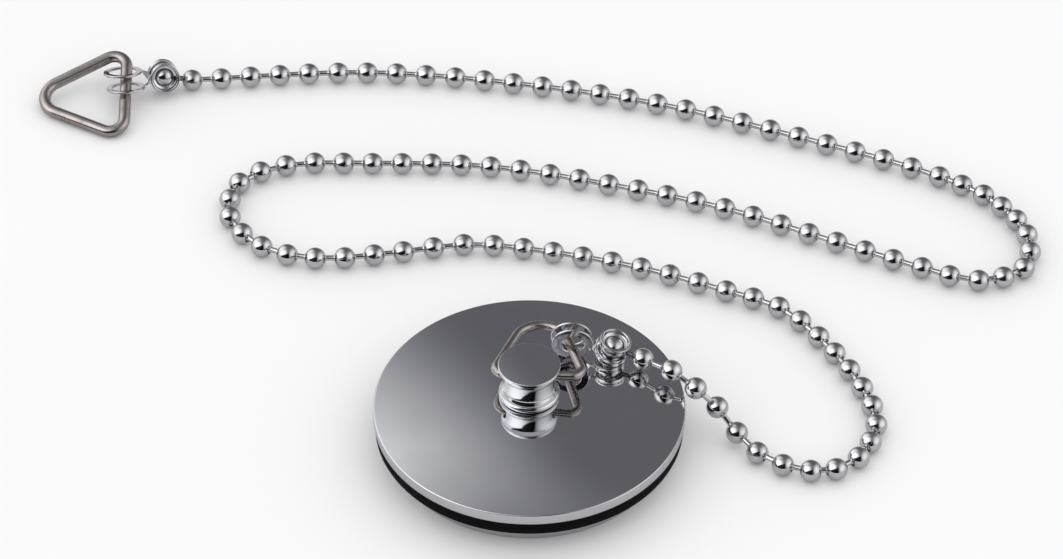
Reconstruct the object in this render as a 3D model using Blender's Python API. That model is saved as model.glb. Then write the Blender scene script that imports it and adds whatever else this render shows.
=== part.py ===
"""Basin drain plug with a ball chain, modelled in metres with +Z up.

The origin is the centre of the plug's flat underside. The plug stands on the
surface z = 0, and the chain lies on the same surface from the plug's knob to
the pull ring. Each physical piece is its own object.
"""
import math

import bmesh
import bpy
from mathutils import Matrix, Vector

# ---- driving dimensions, metres -------------------------------------------
FIT = 0.0001               # gap left between pieces that touch
PLATE_R = 0.0312           # cover plate, outer radius
RIM_Z = 0.0098             # top edge of the cover plate's rim
DOME_RISE = 0.0034         # how far the plate's middle stands above its rim
SKIRT = 0.0024             # height of the cover plate's side
PLATE_T = 0.0016           # wall of the cover plate
SEAL_R = 0.0310            # rubber seal, outer radius
SEAL_BORE = 0.0200
SEAL_TOP = RIM_Z - SKIRT - FIT
SEAL_LIP = 0.0002          # how far the seal's lip hangs below its clamped face
DISC_TOP = 0.0045          # top face of the lower disc
DISC_R = 0.0284
WEB_Z = 0.0030             # underside of the lower disc's web
CLEAR_R = 0.0024           # clearance hole for the screw
SCREW_R = 0.0020
SCREW_TOP = 0.0160
KNOB_TOP = 0.0213
KNOB_HEAD_R = 0.00625
HOLE_Z = 0.0184            # axis of the knob's cross hole
HOLE_R = 0.0016
BEAD_R = 0.00225           # chain bead
LINK_R = 0.0004            # wire that joins two beads
COUPLING_L = 0.0085        # trapped bead's centre to the eyelets' centres
EYE_R = 0.00415
NEAR_EYE = (0.0014, 0.0005, 0.0024)   # knob's coupling: eyelet side, lift and hole radius
FAR_EYE = (0.0013, 0.0016, 0.0029)    # pull ring's coupling: the same three
SHEET = 0.0005             # sheet that the couplings are stamped from
CUP_R = 0.0032
CUP_IN = 0.00075           # cup's inner and outer ends along its axis
CUP_OUT = 0.0024
KNOB_WIRE_R = 0.00095
END_WIRE_R = 0.00125
WIRE_GAP = 0.0003          # gap where a ring's wire ends meet

# Couplings: the centre of the trapped bead, and the middle of the two eyelets.
NEAR_BALL = Vector((0.0168, 0.0117, 0.0148))
NEAR_EYES = Vector((0.0084, 0.0117, 0.0169))
FAR_BALL = Vector((-0.0781, 0.1076, 0.0042))
FAR_EYES = Vector((-0.0864, 0.1058, 0.0046))
END_RING_SEAT = Vector((-0.0860, 0.1058, 0.00485))
NEAR_CUP_AXIS = Vector((0.0, -0.09, 1.0))
FAR_CUP_AXIS = Vector((0.222, -0.883, 0.414))

# Chain route, bead centres from the knob's coupling to the pull ring's.
ROUTE = [
    (0.0227, 0.0093, 0.0139), (0.0284, 0.0061, 0.0137), (0.0333, 0.0036, 0.0113),
    (0.0377, 0.0029, 0.0067), (0.0416, -0.0008, 0.0032), (0.0456, -0.0056, 0.0023),
    (0.0506, -0.0091, 0.0023), (0.0561, -0.0108, 0.0023), (0.0612, -0.0103, 0.0023),
    (0.0658, -0.0070, 0.0023), (0.0697, 0.0024, 0.0023), (0.0673, 0.0132, 0.0023),
    (0.0590, 0.0282, 0.0023), (0.0512, 0.0371, 0.0023), (0.0405, 0.0420, 0.0023),
    (0.0231, 0.0490, 0.0023), (-0.0012, 0.0550, 0.0023), (-0.0136, 0.0562, 0.0023),
    (-0.0261, 0.0540, 0.0023), (-0.0443, 0.0520, 0.0023), (-0.0555, 0.0556, 0.0023),
    (-0.0624, 0.0647, 0.0023), (-0.0608, 0.0754, 0.0023), (-0.0512, 0.0809, 0.0023),
    (-0.0330, 0.0816, 0.0023), (-0.0081, 0.0805, 0.0023), (0.0166, 0.0749, 0.0023),
    (0.0408, 0.0674, 0.0023), (0.0638, 0.0569, 0.0023), (0.0811, 0.0491, 0.0023),
    (0.0926, 0.0452, 0.0023), (0.1022, 0.0490, 0.0023), (0.1034, 0.0592, 0.0023),
    (0.0970, 0.0698, 0.0023), (0.0861, 0.0774, 0.0023), (0.0569, 0.0900, 0.0023),
    (0.0272, 0.1007, 0.0023), (-0.0034, 0.1074, 0.0023), (-0.0347, 0.1109, 0.0023),
    (-0.0721, 0.1085, 0.0023),
]
TUBE_POINTS = 68           # points along the chain's tube

# ---- materials --------------------------------------------------------------
FINISHES = {
    "polished_chrome": ((0.62, 0.62, 0.64), 0.06, 1.0),
    "coupling_chrome": ((0.64, 0.64, 0.65), 0.12, 1.0),
    "chain_steel": ((0.58, 0.58, 0.59), 0.16, 1.0),
    "ring_steel": ((0.40, 0.36, 0.34), 0.28, 1.0),
    "black_rubber": ((0.015, 0.015, 0.016), 0.65, 0.0),
    "brass": ((0.70, 0.52, 0.25), 0.30, 1.0),
}


def finish(name):
    """A Principled material made once for each named finish."""
    material = bpy.data.materials.get(name)
    if material is None:
        colour, roughness, metallic = FINISHES[name]
        material = bpy.data.materials.new(name)
        material.use_nodes = True
        shader = material.node_tree.nodes["Principled BSDF"]
        shader.inputs["Base Color"].default_value = (*colour, 1.0)
        shader.inputs["Roughness"].default_value = roughness
        shader.inputs["Metallic"].default_value = metallic
        material.diffuse_color = (*colour, 1.0)
    return material


# ---- shape helpers ----------------------------------------------------------
def mesh_object(name, bm, material, matrix=None, smooth=35.0):
    """Turn a bmesh into a named object with its faces pointing out."""
    bmesh.ops.recalc_face_normals(bm, faces=bm.faces[:])
    mesh = bpy.data.meshes.new(name)
    bm.to_mesh(mesh)
    bm.free()
    mesh.materials.append(finish(material))
    mesh.shade_smooth()
    mesh.set_sharp_from_angle(angle=math.radians(smooth))
    item = bpy.data.objects.new(name, mesh)
    bpy.context.scene.collection.objects.link(item)
    if matrix is not None:
        item.matrix_world = matrix
    return item


def turned(name, profile, material, steps=48, sweep=360.0, matrix=None):
    """Turn (radius, height) points about local Z.

    A profile whose ends are on the axis is a solid; any other is closed into
    a ring. A sweep under 360 degrees gets flat end faces.
    """
    bm = bmesh.new()
    whole = sweep >= 360.0
    on_axis = profile[0][0] == 0.0 and profile[-1][0] == 0.0
    columns = steps if whole else steps + 1
    rows = []
    for radius, height in profile:
        if radius == 0.0:
            rows.append([bm.verts.new((0.0, 0.0, height))] * columns)
            continue
        row = []
        for step in range(columns):
            angle = math.radians(sweep) * step / steps
            row.append(bm.verts.new((radius * math.cos(angle), radius * math.sin(angle), height)))
        rows.append(row)
    pairs = list(zip(rows, rows[1:]))
    if not on_axis:
        pairs.append((rows[-1], rows[0]))
    for lower, upper in pairs:
        for step in range(steps):
            after = (step + 1) % columns
            corners = [lower[step], lower[after], upper[after], upper[step]]
            corners = [v for i, v in enumerate(corners) if v not in corners[:i]]
            if len(corners) > 2:
                bm.faces.new(corners)
    if not whole:
        bm.faces.new([row[0] for row in rows])
        bm.faces.new([row[-1] for row in rows])
    return mesh_object(name, bm, material, matrix)


def lofted(name, sections, material, matrix=None):
    """Join equal cross sections, given as lists of points, into one solid."""
    bm = bmesh.new()
    rings = [[bm.verts.new(point) for point in section] for section in sections]
    count = len(sections[0])
    for first, second in zip(rings, rings[1:]):
        for i in range(count):
            j = (i + 1) % count
            bm.faces.new((first[i], first[j], second[j], second[i]))
    bm.faces.new(rings[0])
    bm.faces.new(rings[-1])
    return mesh_object(name, bm, material, matrix)


def boolean(target, tool, operation):
    """Cut or join with a hidden tool object, which stays a guide."""
    modifier = target.modifiers.new(operation.lower(), "BOOLEAN")
    modifier.operation = operation
    modifier.solver = "EXACT"
    modifier.object = tool
    tool.hide_render = True
    tool.display_type = "WIRE"


def swept(name, points, radius, material, resolution):
    """A round wire or tube along a list of points, closed at both ends."""
    curve = bpy.data.curves.new(name, "CURVE")
    curve.dimensions = "3D"
    curve.bevel_depth = radius
    curve.bevel_resolution = resolution
    curve.use_fill_caps = True
    spline = curve.splines.new("POLY")
    spline.points.add(len(points) - 1)
    for point, place in zip(spline.points, points):
        point.co = (*place, 1.0)
    spline.use_smooth = True
    curve.materials.append(finish(material))
    item = bpy.data.objects.new(name, curve)
    bpy.context.scene.collection.objects.link(item)
    return item


def dome(radius):
    """Height of the cover plate's top surface at a radius."""
    return RIM_Z + DOME_RISE * (1.0 - (radius / PLATE_R) ** 2)


def smooth_route(points, count, overrun):
    """Evenly spaced points on a smooth curve through the route's points.

    Both ends run on by overrun, along the curve's own direction.
    """
    places = [Vector(p) for p in points]
    first = places[0] + (places[0] - places[1])
    last = places[-1] + (places[-1] - places[-2])
    padded = [first, *places, last]
    dense = []
    for i in range(1, len(padded) - 2):
        a, b, c, d = padded[i - 1:i + 3]
        knots = [0.0]
        for p, q in ((a, b), (b, c), (c, d)):
            knots.append(knots[-1] + math.sqrt((q - p).length))
        t0, t1, t2, t3 = knots
        for step in range(24):
            t = t1 + (t2 - t1) * step / 24
            ab = a.lerp(b, (t - t0) / (t1 - t0))
            bc = b.lerp(c, (t - t1) / (t2 - t1))
            cd = c.lerp(d, (t - t2) / (t3 - t2))
            abc = ab.lerp(bc, (t - t0) / (t2 - t0))
            bcd = bc.lerp(cd, (t - t1) / (t3 - t1))
            dense.append(abc.lerp(bcd, (t - t1) / (t2 - t1)))
    dense.append(places[-1])
    head = dense[0] + (dense[0] - dense[1]).normalized() * overrun
    tail = dense[-1] + (dense[-1] - dense[-2]).normalized() * overrun
    dense = [head, *dense, tail]
    lengths = [0.0]
    for p, q in zip(dense, dense[1:]):
        lengths.append(lengths[-1] + (q - p).length)
    result = []
    k = 0
    for i in range(count):
        want = lengths[-1] * i / (count - 1)
        while k < len(lengths) - 2 and lengths[k + 1] < want:
            k += 1
        share = (want - lengths[k]) / (lengths[k + 1] - lengths[k])
        result.append(dense[k].lerp(dense[k + 1], share))
    return result


def ring_outline(half_base, height, base_round, apex_round, seam, arc_steps):
    """Centre line of a triangular wire ring, open at a seam in its base bar.

    The base bar lies on the local X axis and the apex is at +Y. half_base and
    height are those of the sharp triangle before its corners are rounded.
    """
    corners = [Vector((half_base, 0.0)), Vector((0.0, height)), Vector((-half_base, 0.0))]
    rounds = [base_round, apex_round, base_round]
    points = [Vector((seam + WIRE_GAP / 2, 0.0))]
    for i, corner in enumerate(corners):
        before = (corners[i - 1] - corner).normalized()
        after = (corners[(i + 1) % 3] - corner).normalized()
        half = before.angle(after) / 2
        centre = corner + (before + after).normalized() * rounds[i] / math.sin(half)
        start = corner + before * rounds[i] / math.tan(half) - centre
        turn = math.pi - 2 * half
        for step in range(arc_steps + 1):
            angle = turn * step / arc_steps
            c, s = math.cos(angle), math.sin(angle)
            points.append(centre + Vector((start.x * c - start.y * s, start.x * s + start.y * c)))
    points.append(Vector((seam - WIRE_GAP / 2, 0.0)))
    return points


def frame_at(origin, x_axis, z_hint):
    """Matrix with local X along x_axis and local Z as near to z_hint as it can be."""
    x = x_axis.normalized()
    z = (z_hint - x * z_hint.dot(x)).normalized()
    y = z.cross(x)
    matrix = Matrix((x, y, z)).transposed().to_4x4()
    matrix.translation = origin
    return matrix


# ---- the plug ---------------------------------------------------------------
def cover_plate():
    """Domed cover with a short straight side, hollow underneath."""
    radii = [PLATE_R * share for share in (0.965, 0.85, 0.70, 0.55, 0.40, 0.25)]
    top = [(radius, dome(radius)) for radius in radii]
    inner = PLATE_R - PLATE_T
    under = [(radius, dome(radius) - PLATE_T) for radius in (0.010, 0.020, 0.027)]
    profile = [
        (CLEAR_R, dome(CLEAR_R) - PLATE_T),
        *under,
        (inner, RIM_Z - 0.0008),
        (inner, RIM_Z - SKIRT),
        (PLATE_R - 0.0002, RIM_Z - SKIRT),
        (PLATE_R, RIM_Z - SKIRT + 0.0002),
        (PLATE_R, RIM_Z - 0.0002),
        (PLATE_R - 0.0002, RIM_Z),
        *top,
        (CLEAR_R, dome(CLEAR_R)),
    ]
    turned("cover_plate", profile, "polished_chrome", steps=64)


def seal_ring():
    """Rubber ring squeezed between the two discs, its lip hanging past the lower one."""
    bottom = DISC_TOP + FIT
    profile = [
        (SEAL_BORE, bottom),
        (DISC_R + FIT, bottom),
        (DISC_R + 2 * FIT, bottom - SEAL_LIP),
        (SEAL_R - 0.0005, bottom - SEAL_LIP),
        (SEAL_R, bottom - SEAL_LIP + 0.0005),
        (SEAL_R, SEAL_TOP - 0.0004),
        (SEAL_R - 0.0004, SEAL_TOP),
        (SEAL_BORE, SEAL_TOP),
    ]
    turned("seal_ring", profile, "black_rubber", steps=64)


def lower_disc():
    """Disc that enters the drain, with a flat foot ring round its underside."""
    profile = [
        (CLEAR_R, WEB_Z),
        (DISC_R - 0.0040, WEB_Z),
        (DISC_R - 0.0034, 0.0008),
        (DISC_R - 0.0026, 0.0),
        (DISC_R - 0.0010, 0.0),
        (DISC_R - 0.0003, 0.0006),
        (DISC_R, 0.0016),
        (DISC_R, DISC_TOP - 0.0003),
        (DISC_R - 0.0003, DISC_TOP),
        (CLEAR_R, DISC_TOP),
    ]
    turned("lower_disc", profile, "polished_chrome", steps=64)


def knob():
    """Turned pull knob: head, waisted neck, rounded foot, cross hole and screw bore."""
    foot = dome(0.0) + FIT
    profile = [
        (0.0, KNOB_TOP),
        (KNOB_HEAD_R - 0.0001, KNOB_TOP),
        (KNOB_HEAD_R, KNOB_TOP - 0.0001),
        (KNOB_HEAD_R, KNOB_TOP - 0.0007),
        (0.00605, KNOB_TOP - 0.0010),
        (0.00565, KNOB_TOP - 0.0014),
        (0.00530, KNOB_TOP - 0.0021),
        (0.00512, KNOB_TOP - 0.0030),
        (0.00508, KNOB_TOP - 0.0044),
        (0.00512, foot + 0.0024),
        (0.00535, foot + 0.0017),
        (0.00570, foot + 0.0013),
        (0.00602, foot + 0.0010),
        (0.00612, foot + 0.0006),
        (0.00600, foot + 0.0002),
        (0.00570, foot),
        (SCREW_R + FIT, foot),
        (SCREW_R + FIT, SCREW_TOP + FIT),
        (0.0, SCREW_TOP + FIT),
    ]
    body = turned("knob", profile, "polished_chrome", steps=40)
    half_length = 2 * KNOB_HEAD_R
    drill_outline = [(0.0, -half_length), (HOLE_R, -half_length), (HOLE_R, half_length), (0.0, half_length)]
    place = Matrix.Translation((0.0, 0.0, HOLE_Z)) @ Matrix.Rotation(math.pi / 2, 4, "Y")
    drill = turned("cross_drill", drill_outline, "polished_chrome", steps=20, matrix=place)
    boolean(body, drill, "DIFFERENCE")


def inner_hardware():
    """Screw, washers, spacer and gasket that clamp the plug together."""
    gasket_top = dome(CLEAR_R) - PLATE_T - FIT
    gasket_bottom = gasket_top - 0.0007
    collar = 0.0048
    turned("centre_gasket", [
        (CLEAR_R, gasket_bottom), (collar, gasket_bottom), (collar, gasket_top - 0.0001),
        (CLEAR_R, gasket_top - 0.0001),
    ], "black_rubber", steps=24)
    turned("spacer_bush", [
        (CLEAR_R, DISC_TOP + FIT), (collar, DISC_TOP + FIT), (collar, gasket_bottom - FIT),
        (CLEAR_R, gasket_bottom - FIT),
    ], "brass", steps=24)
    washer_top = WEB_Z - FIT
    washer_bottom = washer_top - 0.0005
    turned("plain_washer", [
        (CLEAR_R, washer_bottom), (0.0050, washer_bottom), (0.0050, washer_top), (CLEAR_R, washer_top),
    ], "chain_steel", steps=24)
    spring_top = washer_bottom - FIT
    spring_bottom = spring_top - 0.0006
    turned("lock_washer", [
        (CLEAR_R, spring_bottom), (0.0040, spring_bottom), (0.0040, spring_top), (CLEAR_R, spring_top),
    ], "chain_steel", steps=22, sweep=346.0)
    head_top = spring_bottom - FIT
    head_bottom = 0.0002
    screw = turned("clamp_screw", [
        (0.0, head_bottom), (0.0031, head_bottom), (0.0037, head_bottom + 0.0004), (0.0038, head_top),
        (SCREW_R, head_top), (SCREW_R, SCREW_TOP - 0.0004), (SCREW_R - 0.0004, SCREW_TOP), (0.0, SCREW_TOP),
    ], "brass", steps=24)
    slot_half = 0.0005
    slot_top = head_bottom + 0.0008
    corners = [(-slot_half, -0.001), (slot_half, -0.001), (slot_half, slot_top), (-slot_half, slot_top)]
    sections = [[(x, y, z) for x, z in corners] for y in (-0.005, 0.005)]
    slot = lofted("screw_slot", sections, "brass")
    boolean(screw, slot, "DIFFERENCE")


# ---- rings, couplings and chain ---------------------------------------------
def knob_ring():
    """Triangular wire ring whose base bar passes through the knob's cross hole."""
    outline = ring_outline(0.00935, 0.0285, 0.0021, 0.0053, -0.0005, 7)
    place = (
        Matrix.Translation((0.0, 0.0, HOLE_Z))
        @ Matrix.Rotation(math.radians(-7.0), 4, "X")
        @ Matrix.Rotation(math.radians(-3.0), 4, "Z")
        @ Matrix.Translation((0.00175, 0.0, 0.0))
    )
    item = swept("knob_ring", [(p.x, p.y, 0.0) for p in outline], KNOB_WIRE_R, "ring_steel", 2)
    item.matrix_world = place


def end_ring():
    """Pull ring, propped on the coupling's eyelets with its apex on the surface."""
    outline = ring_outline(0.0116, 0.0223, 0.0029, 0.0042, -0.0007, 7)
    bar = Vector((0.0, math.cos(math.radians(14.0)), math.sin(math.radians(14.0))))
    to_apex = Vector((-0.992, 0.0, -0.118))
    middle = END_RING_SEAT - bar * 0.0036
    normal = to_apex.cross(bar).normalized()
    to_apex = bar.cross(normal).normalized()
    place = Matrix((bar, to_apex, normal)).transposed().to_4x4()
    place.translation = middle
    item = swept("end_ring", [(p.x, p.y, 0.0) for p in outline], END_WIRE_R, "ring_steel", 2)
    item.matrix_world = place


def coupling_half(name, frame, flip, eye_sizes):
    """Stamped half of a coupling: a cup for the bead, a twisted neck and an eyelet.

    In the half's own frame the bead's centre is the origin, the cup's axis is
    +Z and the eyelet is at -X, turned a quarter against the cup and offset by
    side across the coupling and lift along the cup's axis.
    """
    side, lift, hole = eye_sizes
    place = frame @ Matrix.Rotation(math.pi, 4, "X") if flip else frame
    seat = BEAD_R + FIT
    cup_profile = [
        (math.sqrt(seat ** 2 - CUP_IN ** 2), CUP_IN),
        (CUP_R - 0.00015, CUP_IN),
        (CUP_R, CUP_IN + 0.00015),
        (CUP_R, CUP_OUT - 0.00015),
        (CUP_R - 0.00015, CUP_OUT),
        (CUP_R - SHEET + 0.0001, CUP_OUT),
        (CUP_R - SHEET, CUP_OUT - 0.0002),
        (CUP_R - SHEET, CUP_IN + 0.0008),
        (math.sqrt(seat ** 2 - (CUP_IN + 0.0005) ** 2), CUP_IN + 0.0006),
    ]
    half = turned(name, cup_profile, "coupling_chrome", steps=24, matrix=place)
    eye_profile = [
        (hole, -SHEET / 2), (EYE_R - 0.0001, -SHEET / 2), (EYE_R, 0.0),
        (EYE_R - 0.0001, SHEET / 2), (hole, SHEET / 2),
    ]
    eye_place = place @ Matrix.Translation((-COUPLING_L, -side, lift)) @ Matrix.Rotation(math.pi / 2, 4, "X")
    eye = turned(name + "_eye", eye_profile, "coupling_chrome", steps=24, matrix=eye_place)
    start_x, end_x = -CUP_R + 0.0002, -COUPLING_L + EYE_R - 0.0004
    cup_z = CUP_IN + 0.0007
    sections = []
    for step in range(7):
        share = step / 6
        turn = math.radians(90.0) * share
        ease = share * share * (3 - 2 * share)
        centre = Vector((
            start_x + (end_x - start_x) * share,
            -side * ease,
            cup_z + (lift - cup_z) * ease,
        ))
        wide = Vector((0.0, math.cos(turn), math.sin(turn))) * 0.0010
        thick = Vector((0.0, -math.sin(turn), math.cos(turn))) * (SHEET / 2 - 0.00001)
        sections.append([centre - wide - thick, centre + wide - thick, centre + wide + thick, centre - wide + thick])
    neck = lofted(name + "_neck", sections, "coupling_chrome", matrix=place)
    boolean(half, neck, "UNION")
    boolean(half, eye, "UNION")


def bead(name, centre, axis):
    """Chain bead with its two poles on the link's axis."""
    profile = [(0.0, -BEAD_R)]
    for step in range(1, 10):
        angle = math.pi * step / 10
        profile.append((BEAD_R * math.sin(angle), -BEAD_R * math.cos(angle)))
    profile.append((0.0, BEAD_R))
    matrix = axis.to_track_quat("Z", "Y").to_matrix().to_4x4()
    matrix.translation = centre
    turned(name, profile, "chain_steel", steps=16, matrix=matrix)


def link(name, start, end):
    """Short wire between two beads, stopping just short of both."""
    axis = end - start
    length = axis.length / 2 - BEAD_R - 2 * FIT
    matrix = axis.to_track_quat("Z", "Y").to_matrix().to_4x4()
    matrix.translation = (start + end) / 2
    outline = [(0.0, -length), (LINK_R, -length), (LINK_R, length), (0.0, length)]
    turned(name, outline, "chain_steel", steps=10, matrix=matrix)


def chain():
    """The chain's plain tube, and at each end a link, a trapped bead and a coupling."""
    points = smooth_route(ROUTE, TUBE_POINTS, BEAD_R - FIT)
    swept("bead_chain", points, BEAD_R, "chain_steel", 2)
    near = frame_at(NEAR_BALL, NEAR_BALL - NEAR_EYES, NEAR_CUP_AXIS)
    far = frame_at(FAR_BALL, FAR_BALL - FAR_EYES, FAR_CUP_AXIS)
    for end, frame, ball, neighbour, eye_sizes in (
        ("near", near, NEAR_BALL, Vector(ROUTE[0]), NEAR_EYE),
        ("far", far, FAR_BALL, Vector(ROUTE[-1]), FAR_EYE),
    ):
        coupling_half(end + "_coupling_front", frame, False, eye_sizes)
        coupling_half(end + "_coupling_back", frame, True, eye_sizes)
        bead(end + "_end_bead", ball, neighbour - ball)
        link(end + "_link", ball, neighbour)


def main():
    for item in list(bpy.data.objects):
        bpy.data.objects.remove(item, do_unlink=True)
    cover_plate()
    seal_ring()
    lower_disc()
    knob()
    inner_hardware()
    knob_ring()
    chain()
    end_ring()


main()
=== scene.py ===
"""Looks of the basin drain plug and its ball chain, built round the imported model."""
import math

import bmesh
import bpy
import numpy as np
from mathutils import Matrix, Vector


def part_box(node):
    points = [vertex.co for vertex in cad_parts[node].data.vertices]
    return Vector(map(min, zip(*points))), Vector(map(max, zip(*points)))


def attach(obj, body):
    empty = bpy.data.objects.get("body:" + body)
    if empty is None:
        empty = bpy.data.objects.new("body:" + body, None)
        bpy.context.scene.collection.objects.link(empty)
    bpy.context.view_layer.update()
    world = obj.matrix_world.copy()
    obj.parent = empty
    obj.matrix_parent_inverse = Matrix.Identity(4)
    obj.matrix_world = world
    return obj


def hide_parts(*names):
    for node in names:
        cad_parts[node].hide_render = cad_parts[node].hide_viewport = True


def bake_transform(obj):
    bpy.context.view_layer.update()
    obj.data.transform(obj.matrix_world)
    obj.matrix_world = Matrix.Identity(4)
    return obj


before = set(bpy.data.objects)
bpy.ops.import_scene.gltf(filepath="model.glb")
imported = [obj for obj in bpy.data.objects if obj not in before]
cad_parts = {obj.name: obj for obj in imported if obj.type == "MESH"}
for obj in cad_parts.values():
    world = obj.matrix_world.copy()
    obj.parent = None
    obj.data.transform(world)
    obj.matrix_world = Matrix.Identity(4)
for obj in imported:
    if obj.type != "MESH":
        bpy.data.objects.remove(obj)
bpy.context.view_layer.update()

# ---- sizes, metres ------------------------------------------------------------
plate_low, plate_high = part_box("cover_plate")
knob_low, knob_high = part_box("knob")
seal_low, seal_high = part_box("seal_ring")
disc_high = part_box("lower_disc")[1]

SKIRT = 0.0024
PLATE_R = plate_high.x
RIM_Z = plate_low.z + SKIRT
DOME_RISE = plate_high.z - RIM_Z
PLATE_T = 0.0016
CLEAR_R = 0.0024
SEAL_R = seal_high.x
SEAL_BORE = 0.0200
SEAL_LIP = 0.0002
DISC_R = disc_high.x
WEB_Z = 0.0030
HEAD_R = knob_high.x
SCREW_BORE = 0.0021
SCREW_TOP = 0.0161
HOLE_Z = 0.0184
HOLE_R = 0.0016
BEAD_R = 0.00225
BEAD_HOLE_R = 0.00085
BEAD_LIP = 0.00035
LINK_R = 0.00056
LINK_HEAD_R = 0.00072
LINK_START = math.sqrt(BEAD_R ** 2 - BEAD_HOLE_R ** 2) - BEAD_LIP + 0.00005   # from a bead's centre
BEAD_SPIN = math.radians(137.5)   # turn of each bead's seam against the last
KNOB_WIRE_R = 0.00095
END_WIRE_R = 0.00125
# Wire rings: half base, height, base rounding, apex rounding, place of the seam.
KNOB_RING = (0.00935, 0.0285, 0.0021, 0.0053, -0.0005)
END_RING = (0.0116, 0.0223, 0.0029, 0.0042, -0.0007)
WIRE_GAP = 0.0003
SHEET = 0.0005
CUP_R = 0.0032
CUP_IN = 0.00075
CUP_OUT = 0.0024
COUPLING_L = 0.0085
EYE_R = 0.00415
# Eyelets: offset across the coupling, offset along the cup axis, hole radius.
NEAR_EYE = (0.0014, 0.0005, 0.0024)
FAR_EYE = (0.0013, 0.0016, 0.0029)
NEAR_BALL = Vector((0.0168, 0.0117, 0.0148))
NEAR_EYES = Vector((0.0084, 0.0117, 0.0169))
FAR_BALL = Vector((-0.0781, 0.1076, 0.0042))
FAR_EYES = Vector((-0.0864, 0.1058, 0.0046))
END_RING_SEAT = Vector((-0.0860, 0.1058, 0.00485))
NEAR_CUP_AXIS = Vector((0.0, -0.09, 1.0))
FAR_CUP_AXIS = Vector((0.222, -0.883, 0.414))

# Chain route from the knob's coupling to the pull ring's, and how many beads
# each stretch between two of its points holds.
ROUTE = [
    (0.0227, 0.0093, 0.0139), (0.0284, 0.0061, 0.0137), (0.0333, 0.0036, 0.0113),
    (0.0377, 0.0029, 0.0067), (0.0416, -0.0008, 0.0032), (0.0456, -0.0056, 0.0023),
    (0.0506, -0.0091, 0.0023), (0.0561, -0.0108, 0.0023), (0.0612, -0.0103, 0.0023),
    (0.0658, -0.0070, 0.0023), (0.0697, 0.0024, 0.0023), (0.0673, 0.0132, 0.0023),
    (0.0590, 0.0282, 0.0023), (0.0512, 0.0371, 0.0023), (0.0405, 0.0420, 0.0023),
    (0.0231, 0.0490, 0.0023), (-0.0012, 0.0550, 0.0023), (-0.0136, 0.0562, 0.0023),
    (-0.0261, 0.0540, 0.0023), (-0.0443, 0.0520, 0.0023), (-0.0555, 0.0556, 0.0023),
    (-0.0624, 0.0647, 0.0023), (-0.0608, 0.0754, 0.0023), (-0.0512, 0.0809, 0.0023),
    (-0.0330, 0.0816, 0.0023), (-0.0081, 0.0805, 0.0023), (0.0166, 0.0749, 0.0023),
    (0.0408, 0.0674, 0.0023), (0.0638, 0.0569, 0.0023), (0.0811, 0.0491, 0.0023),
    (0.0926, 0.0452, 0.0023), (0.1022, 0.0490, 0.0023), (0.1034, 0.0592, 0.0023),
    (0.0970, 0.0698, 0.0023), (0.0861, 0.0774, 0.0023), (0.0569, 0.0900, 0.0023),
    (0.0272, 0.1007, 0.0023), (-0.0034, 0.1074, 0.0023), (-0.0347, 0.1109, 0.0023),
    (-0.0721, 0.1085, 0.0023),
]
BEADS_IN_STRETCH = [
    1, 1, 1, 1, 1, 1, 1, 1, 1, 2, 2, 3, 2, 2, 3, 4, 2, 2, 3, 2,
    2, 2, 2, 3, 4, 4, 4, 4, 3, 2, 2, 2, 2.5, 2.5, 5, 5, 5, 5, 6,
]

# ---- camera -------------------------------------------------------------------
CAMERA_DOWN = math.radians(42.62)
CAMERA_AIM = Vector((0.00044, 0.0220, 0.0239))
CAMERA_DISTANCE = 1.2048
CAMERA_LENS = 203.2


def studio_camera():
    """A long lens in front of the plug, looking down on it along +Y."""
    lens = bpy.data.cameras.new("studio_camera")
    lens.sensor_width = 36.0
    lens.lens = CAMERA_LENS
    lens.clip_start = 0.05
    lens.clip_end = 30.0
    item = bpy.data.objects.new("studio_camera", lens)
    forward = Vector((0.0, math.cos(CAMERA_DOWN), -math.sin(CAMERA_DOWN)))
    item.location = CAMERA_AIM - forward * CAMERA_DISTANCE
    item.rotation_euler = (math.pi / 2 - CAMERA_DOWN, 0.0, 0.0)
    bpy.context.scene.collection.objects.link(item)
    bpy.context.scene.camera = item


studio_camera()


# ---- node helpers ---------------------------------------------------------------
def add(tree, kind, values=None, **settings):
    """A new node with its settings; a socket value may be another node's output."""
    node = tree.nodes.new(kind)
    for key, value in settings.items():
        setattr(node, key, value)
    for key, value in (values or {}).items():
        socket = node.inputs[key]
        if isinstance(value, bpy.types.NodeSocket):
            tree.links.new(value, socket)
        else:
            socket.default_value = value
    return node


def sums(tree, operation, first, second=0.0):
    """Output of a math node with one or two inputs."""
    return add(tree, "ShaderNodeMath", {0: first, 1: second}, operation=operation).outputs[0]


def ramp(tree, value, low, high, out_low=0.0, out_high=1.0):
    """Smooth step of a value from one range to another."""
    values = {"Value": value, "From Min": low, "From Max": high, "To Min": out_low, "To Max": out_high}
    node = add(tree, "ShaderNodeMapRange", values, interpolation_type="SMOOTHSTEP")
    return node.outputs["Result"]


def noise(tree, vector, scale, detail=3.0, rough=0.5):
    """Noise from 0 to 1 at the given coordinates."""
    values = {"Vector": vector, "Scale": scale, "Detail": detail, "Roughness": rough}
    return add(tree, "ShaderNodeTexNoise", values).outputs["Fac"]


def blend_colour(tree, share, first, second):
    """Colour between two others."""
    node = add(tree, "ShaderNodeMix", data_type="RGBA")
    for socket, value in ((node.inputs[0], share), (node.inputs[6], first), (node.inputs[7], second)):
        if isinstance(value, bpy.types.NodeSocket):
            tree.links.new(value, socket)
        else:
            socket.default_value = value if socket is node.inputs[0] else (*value, 1.0)
    return node.outputs[2]


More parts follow.
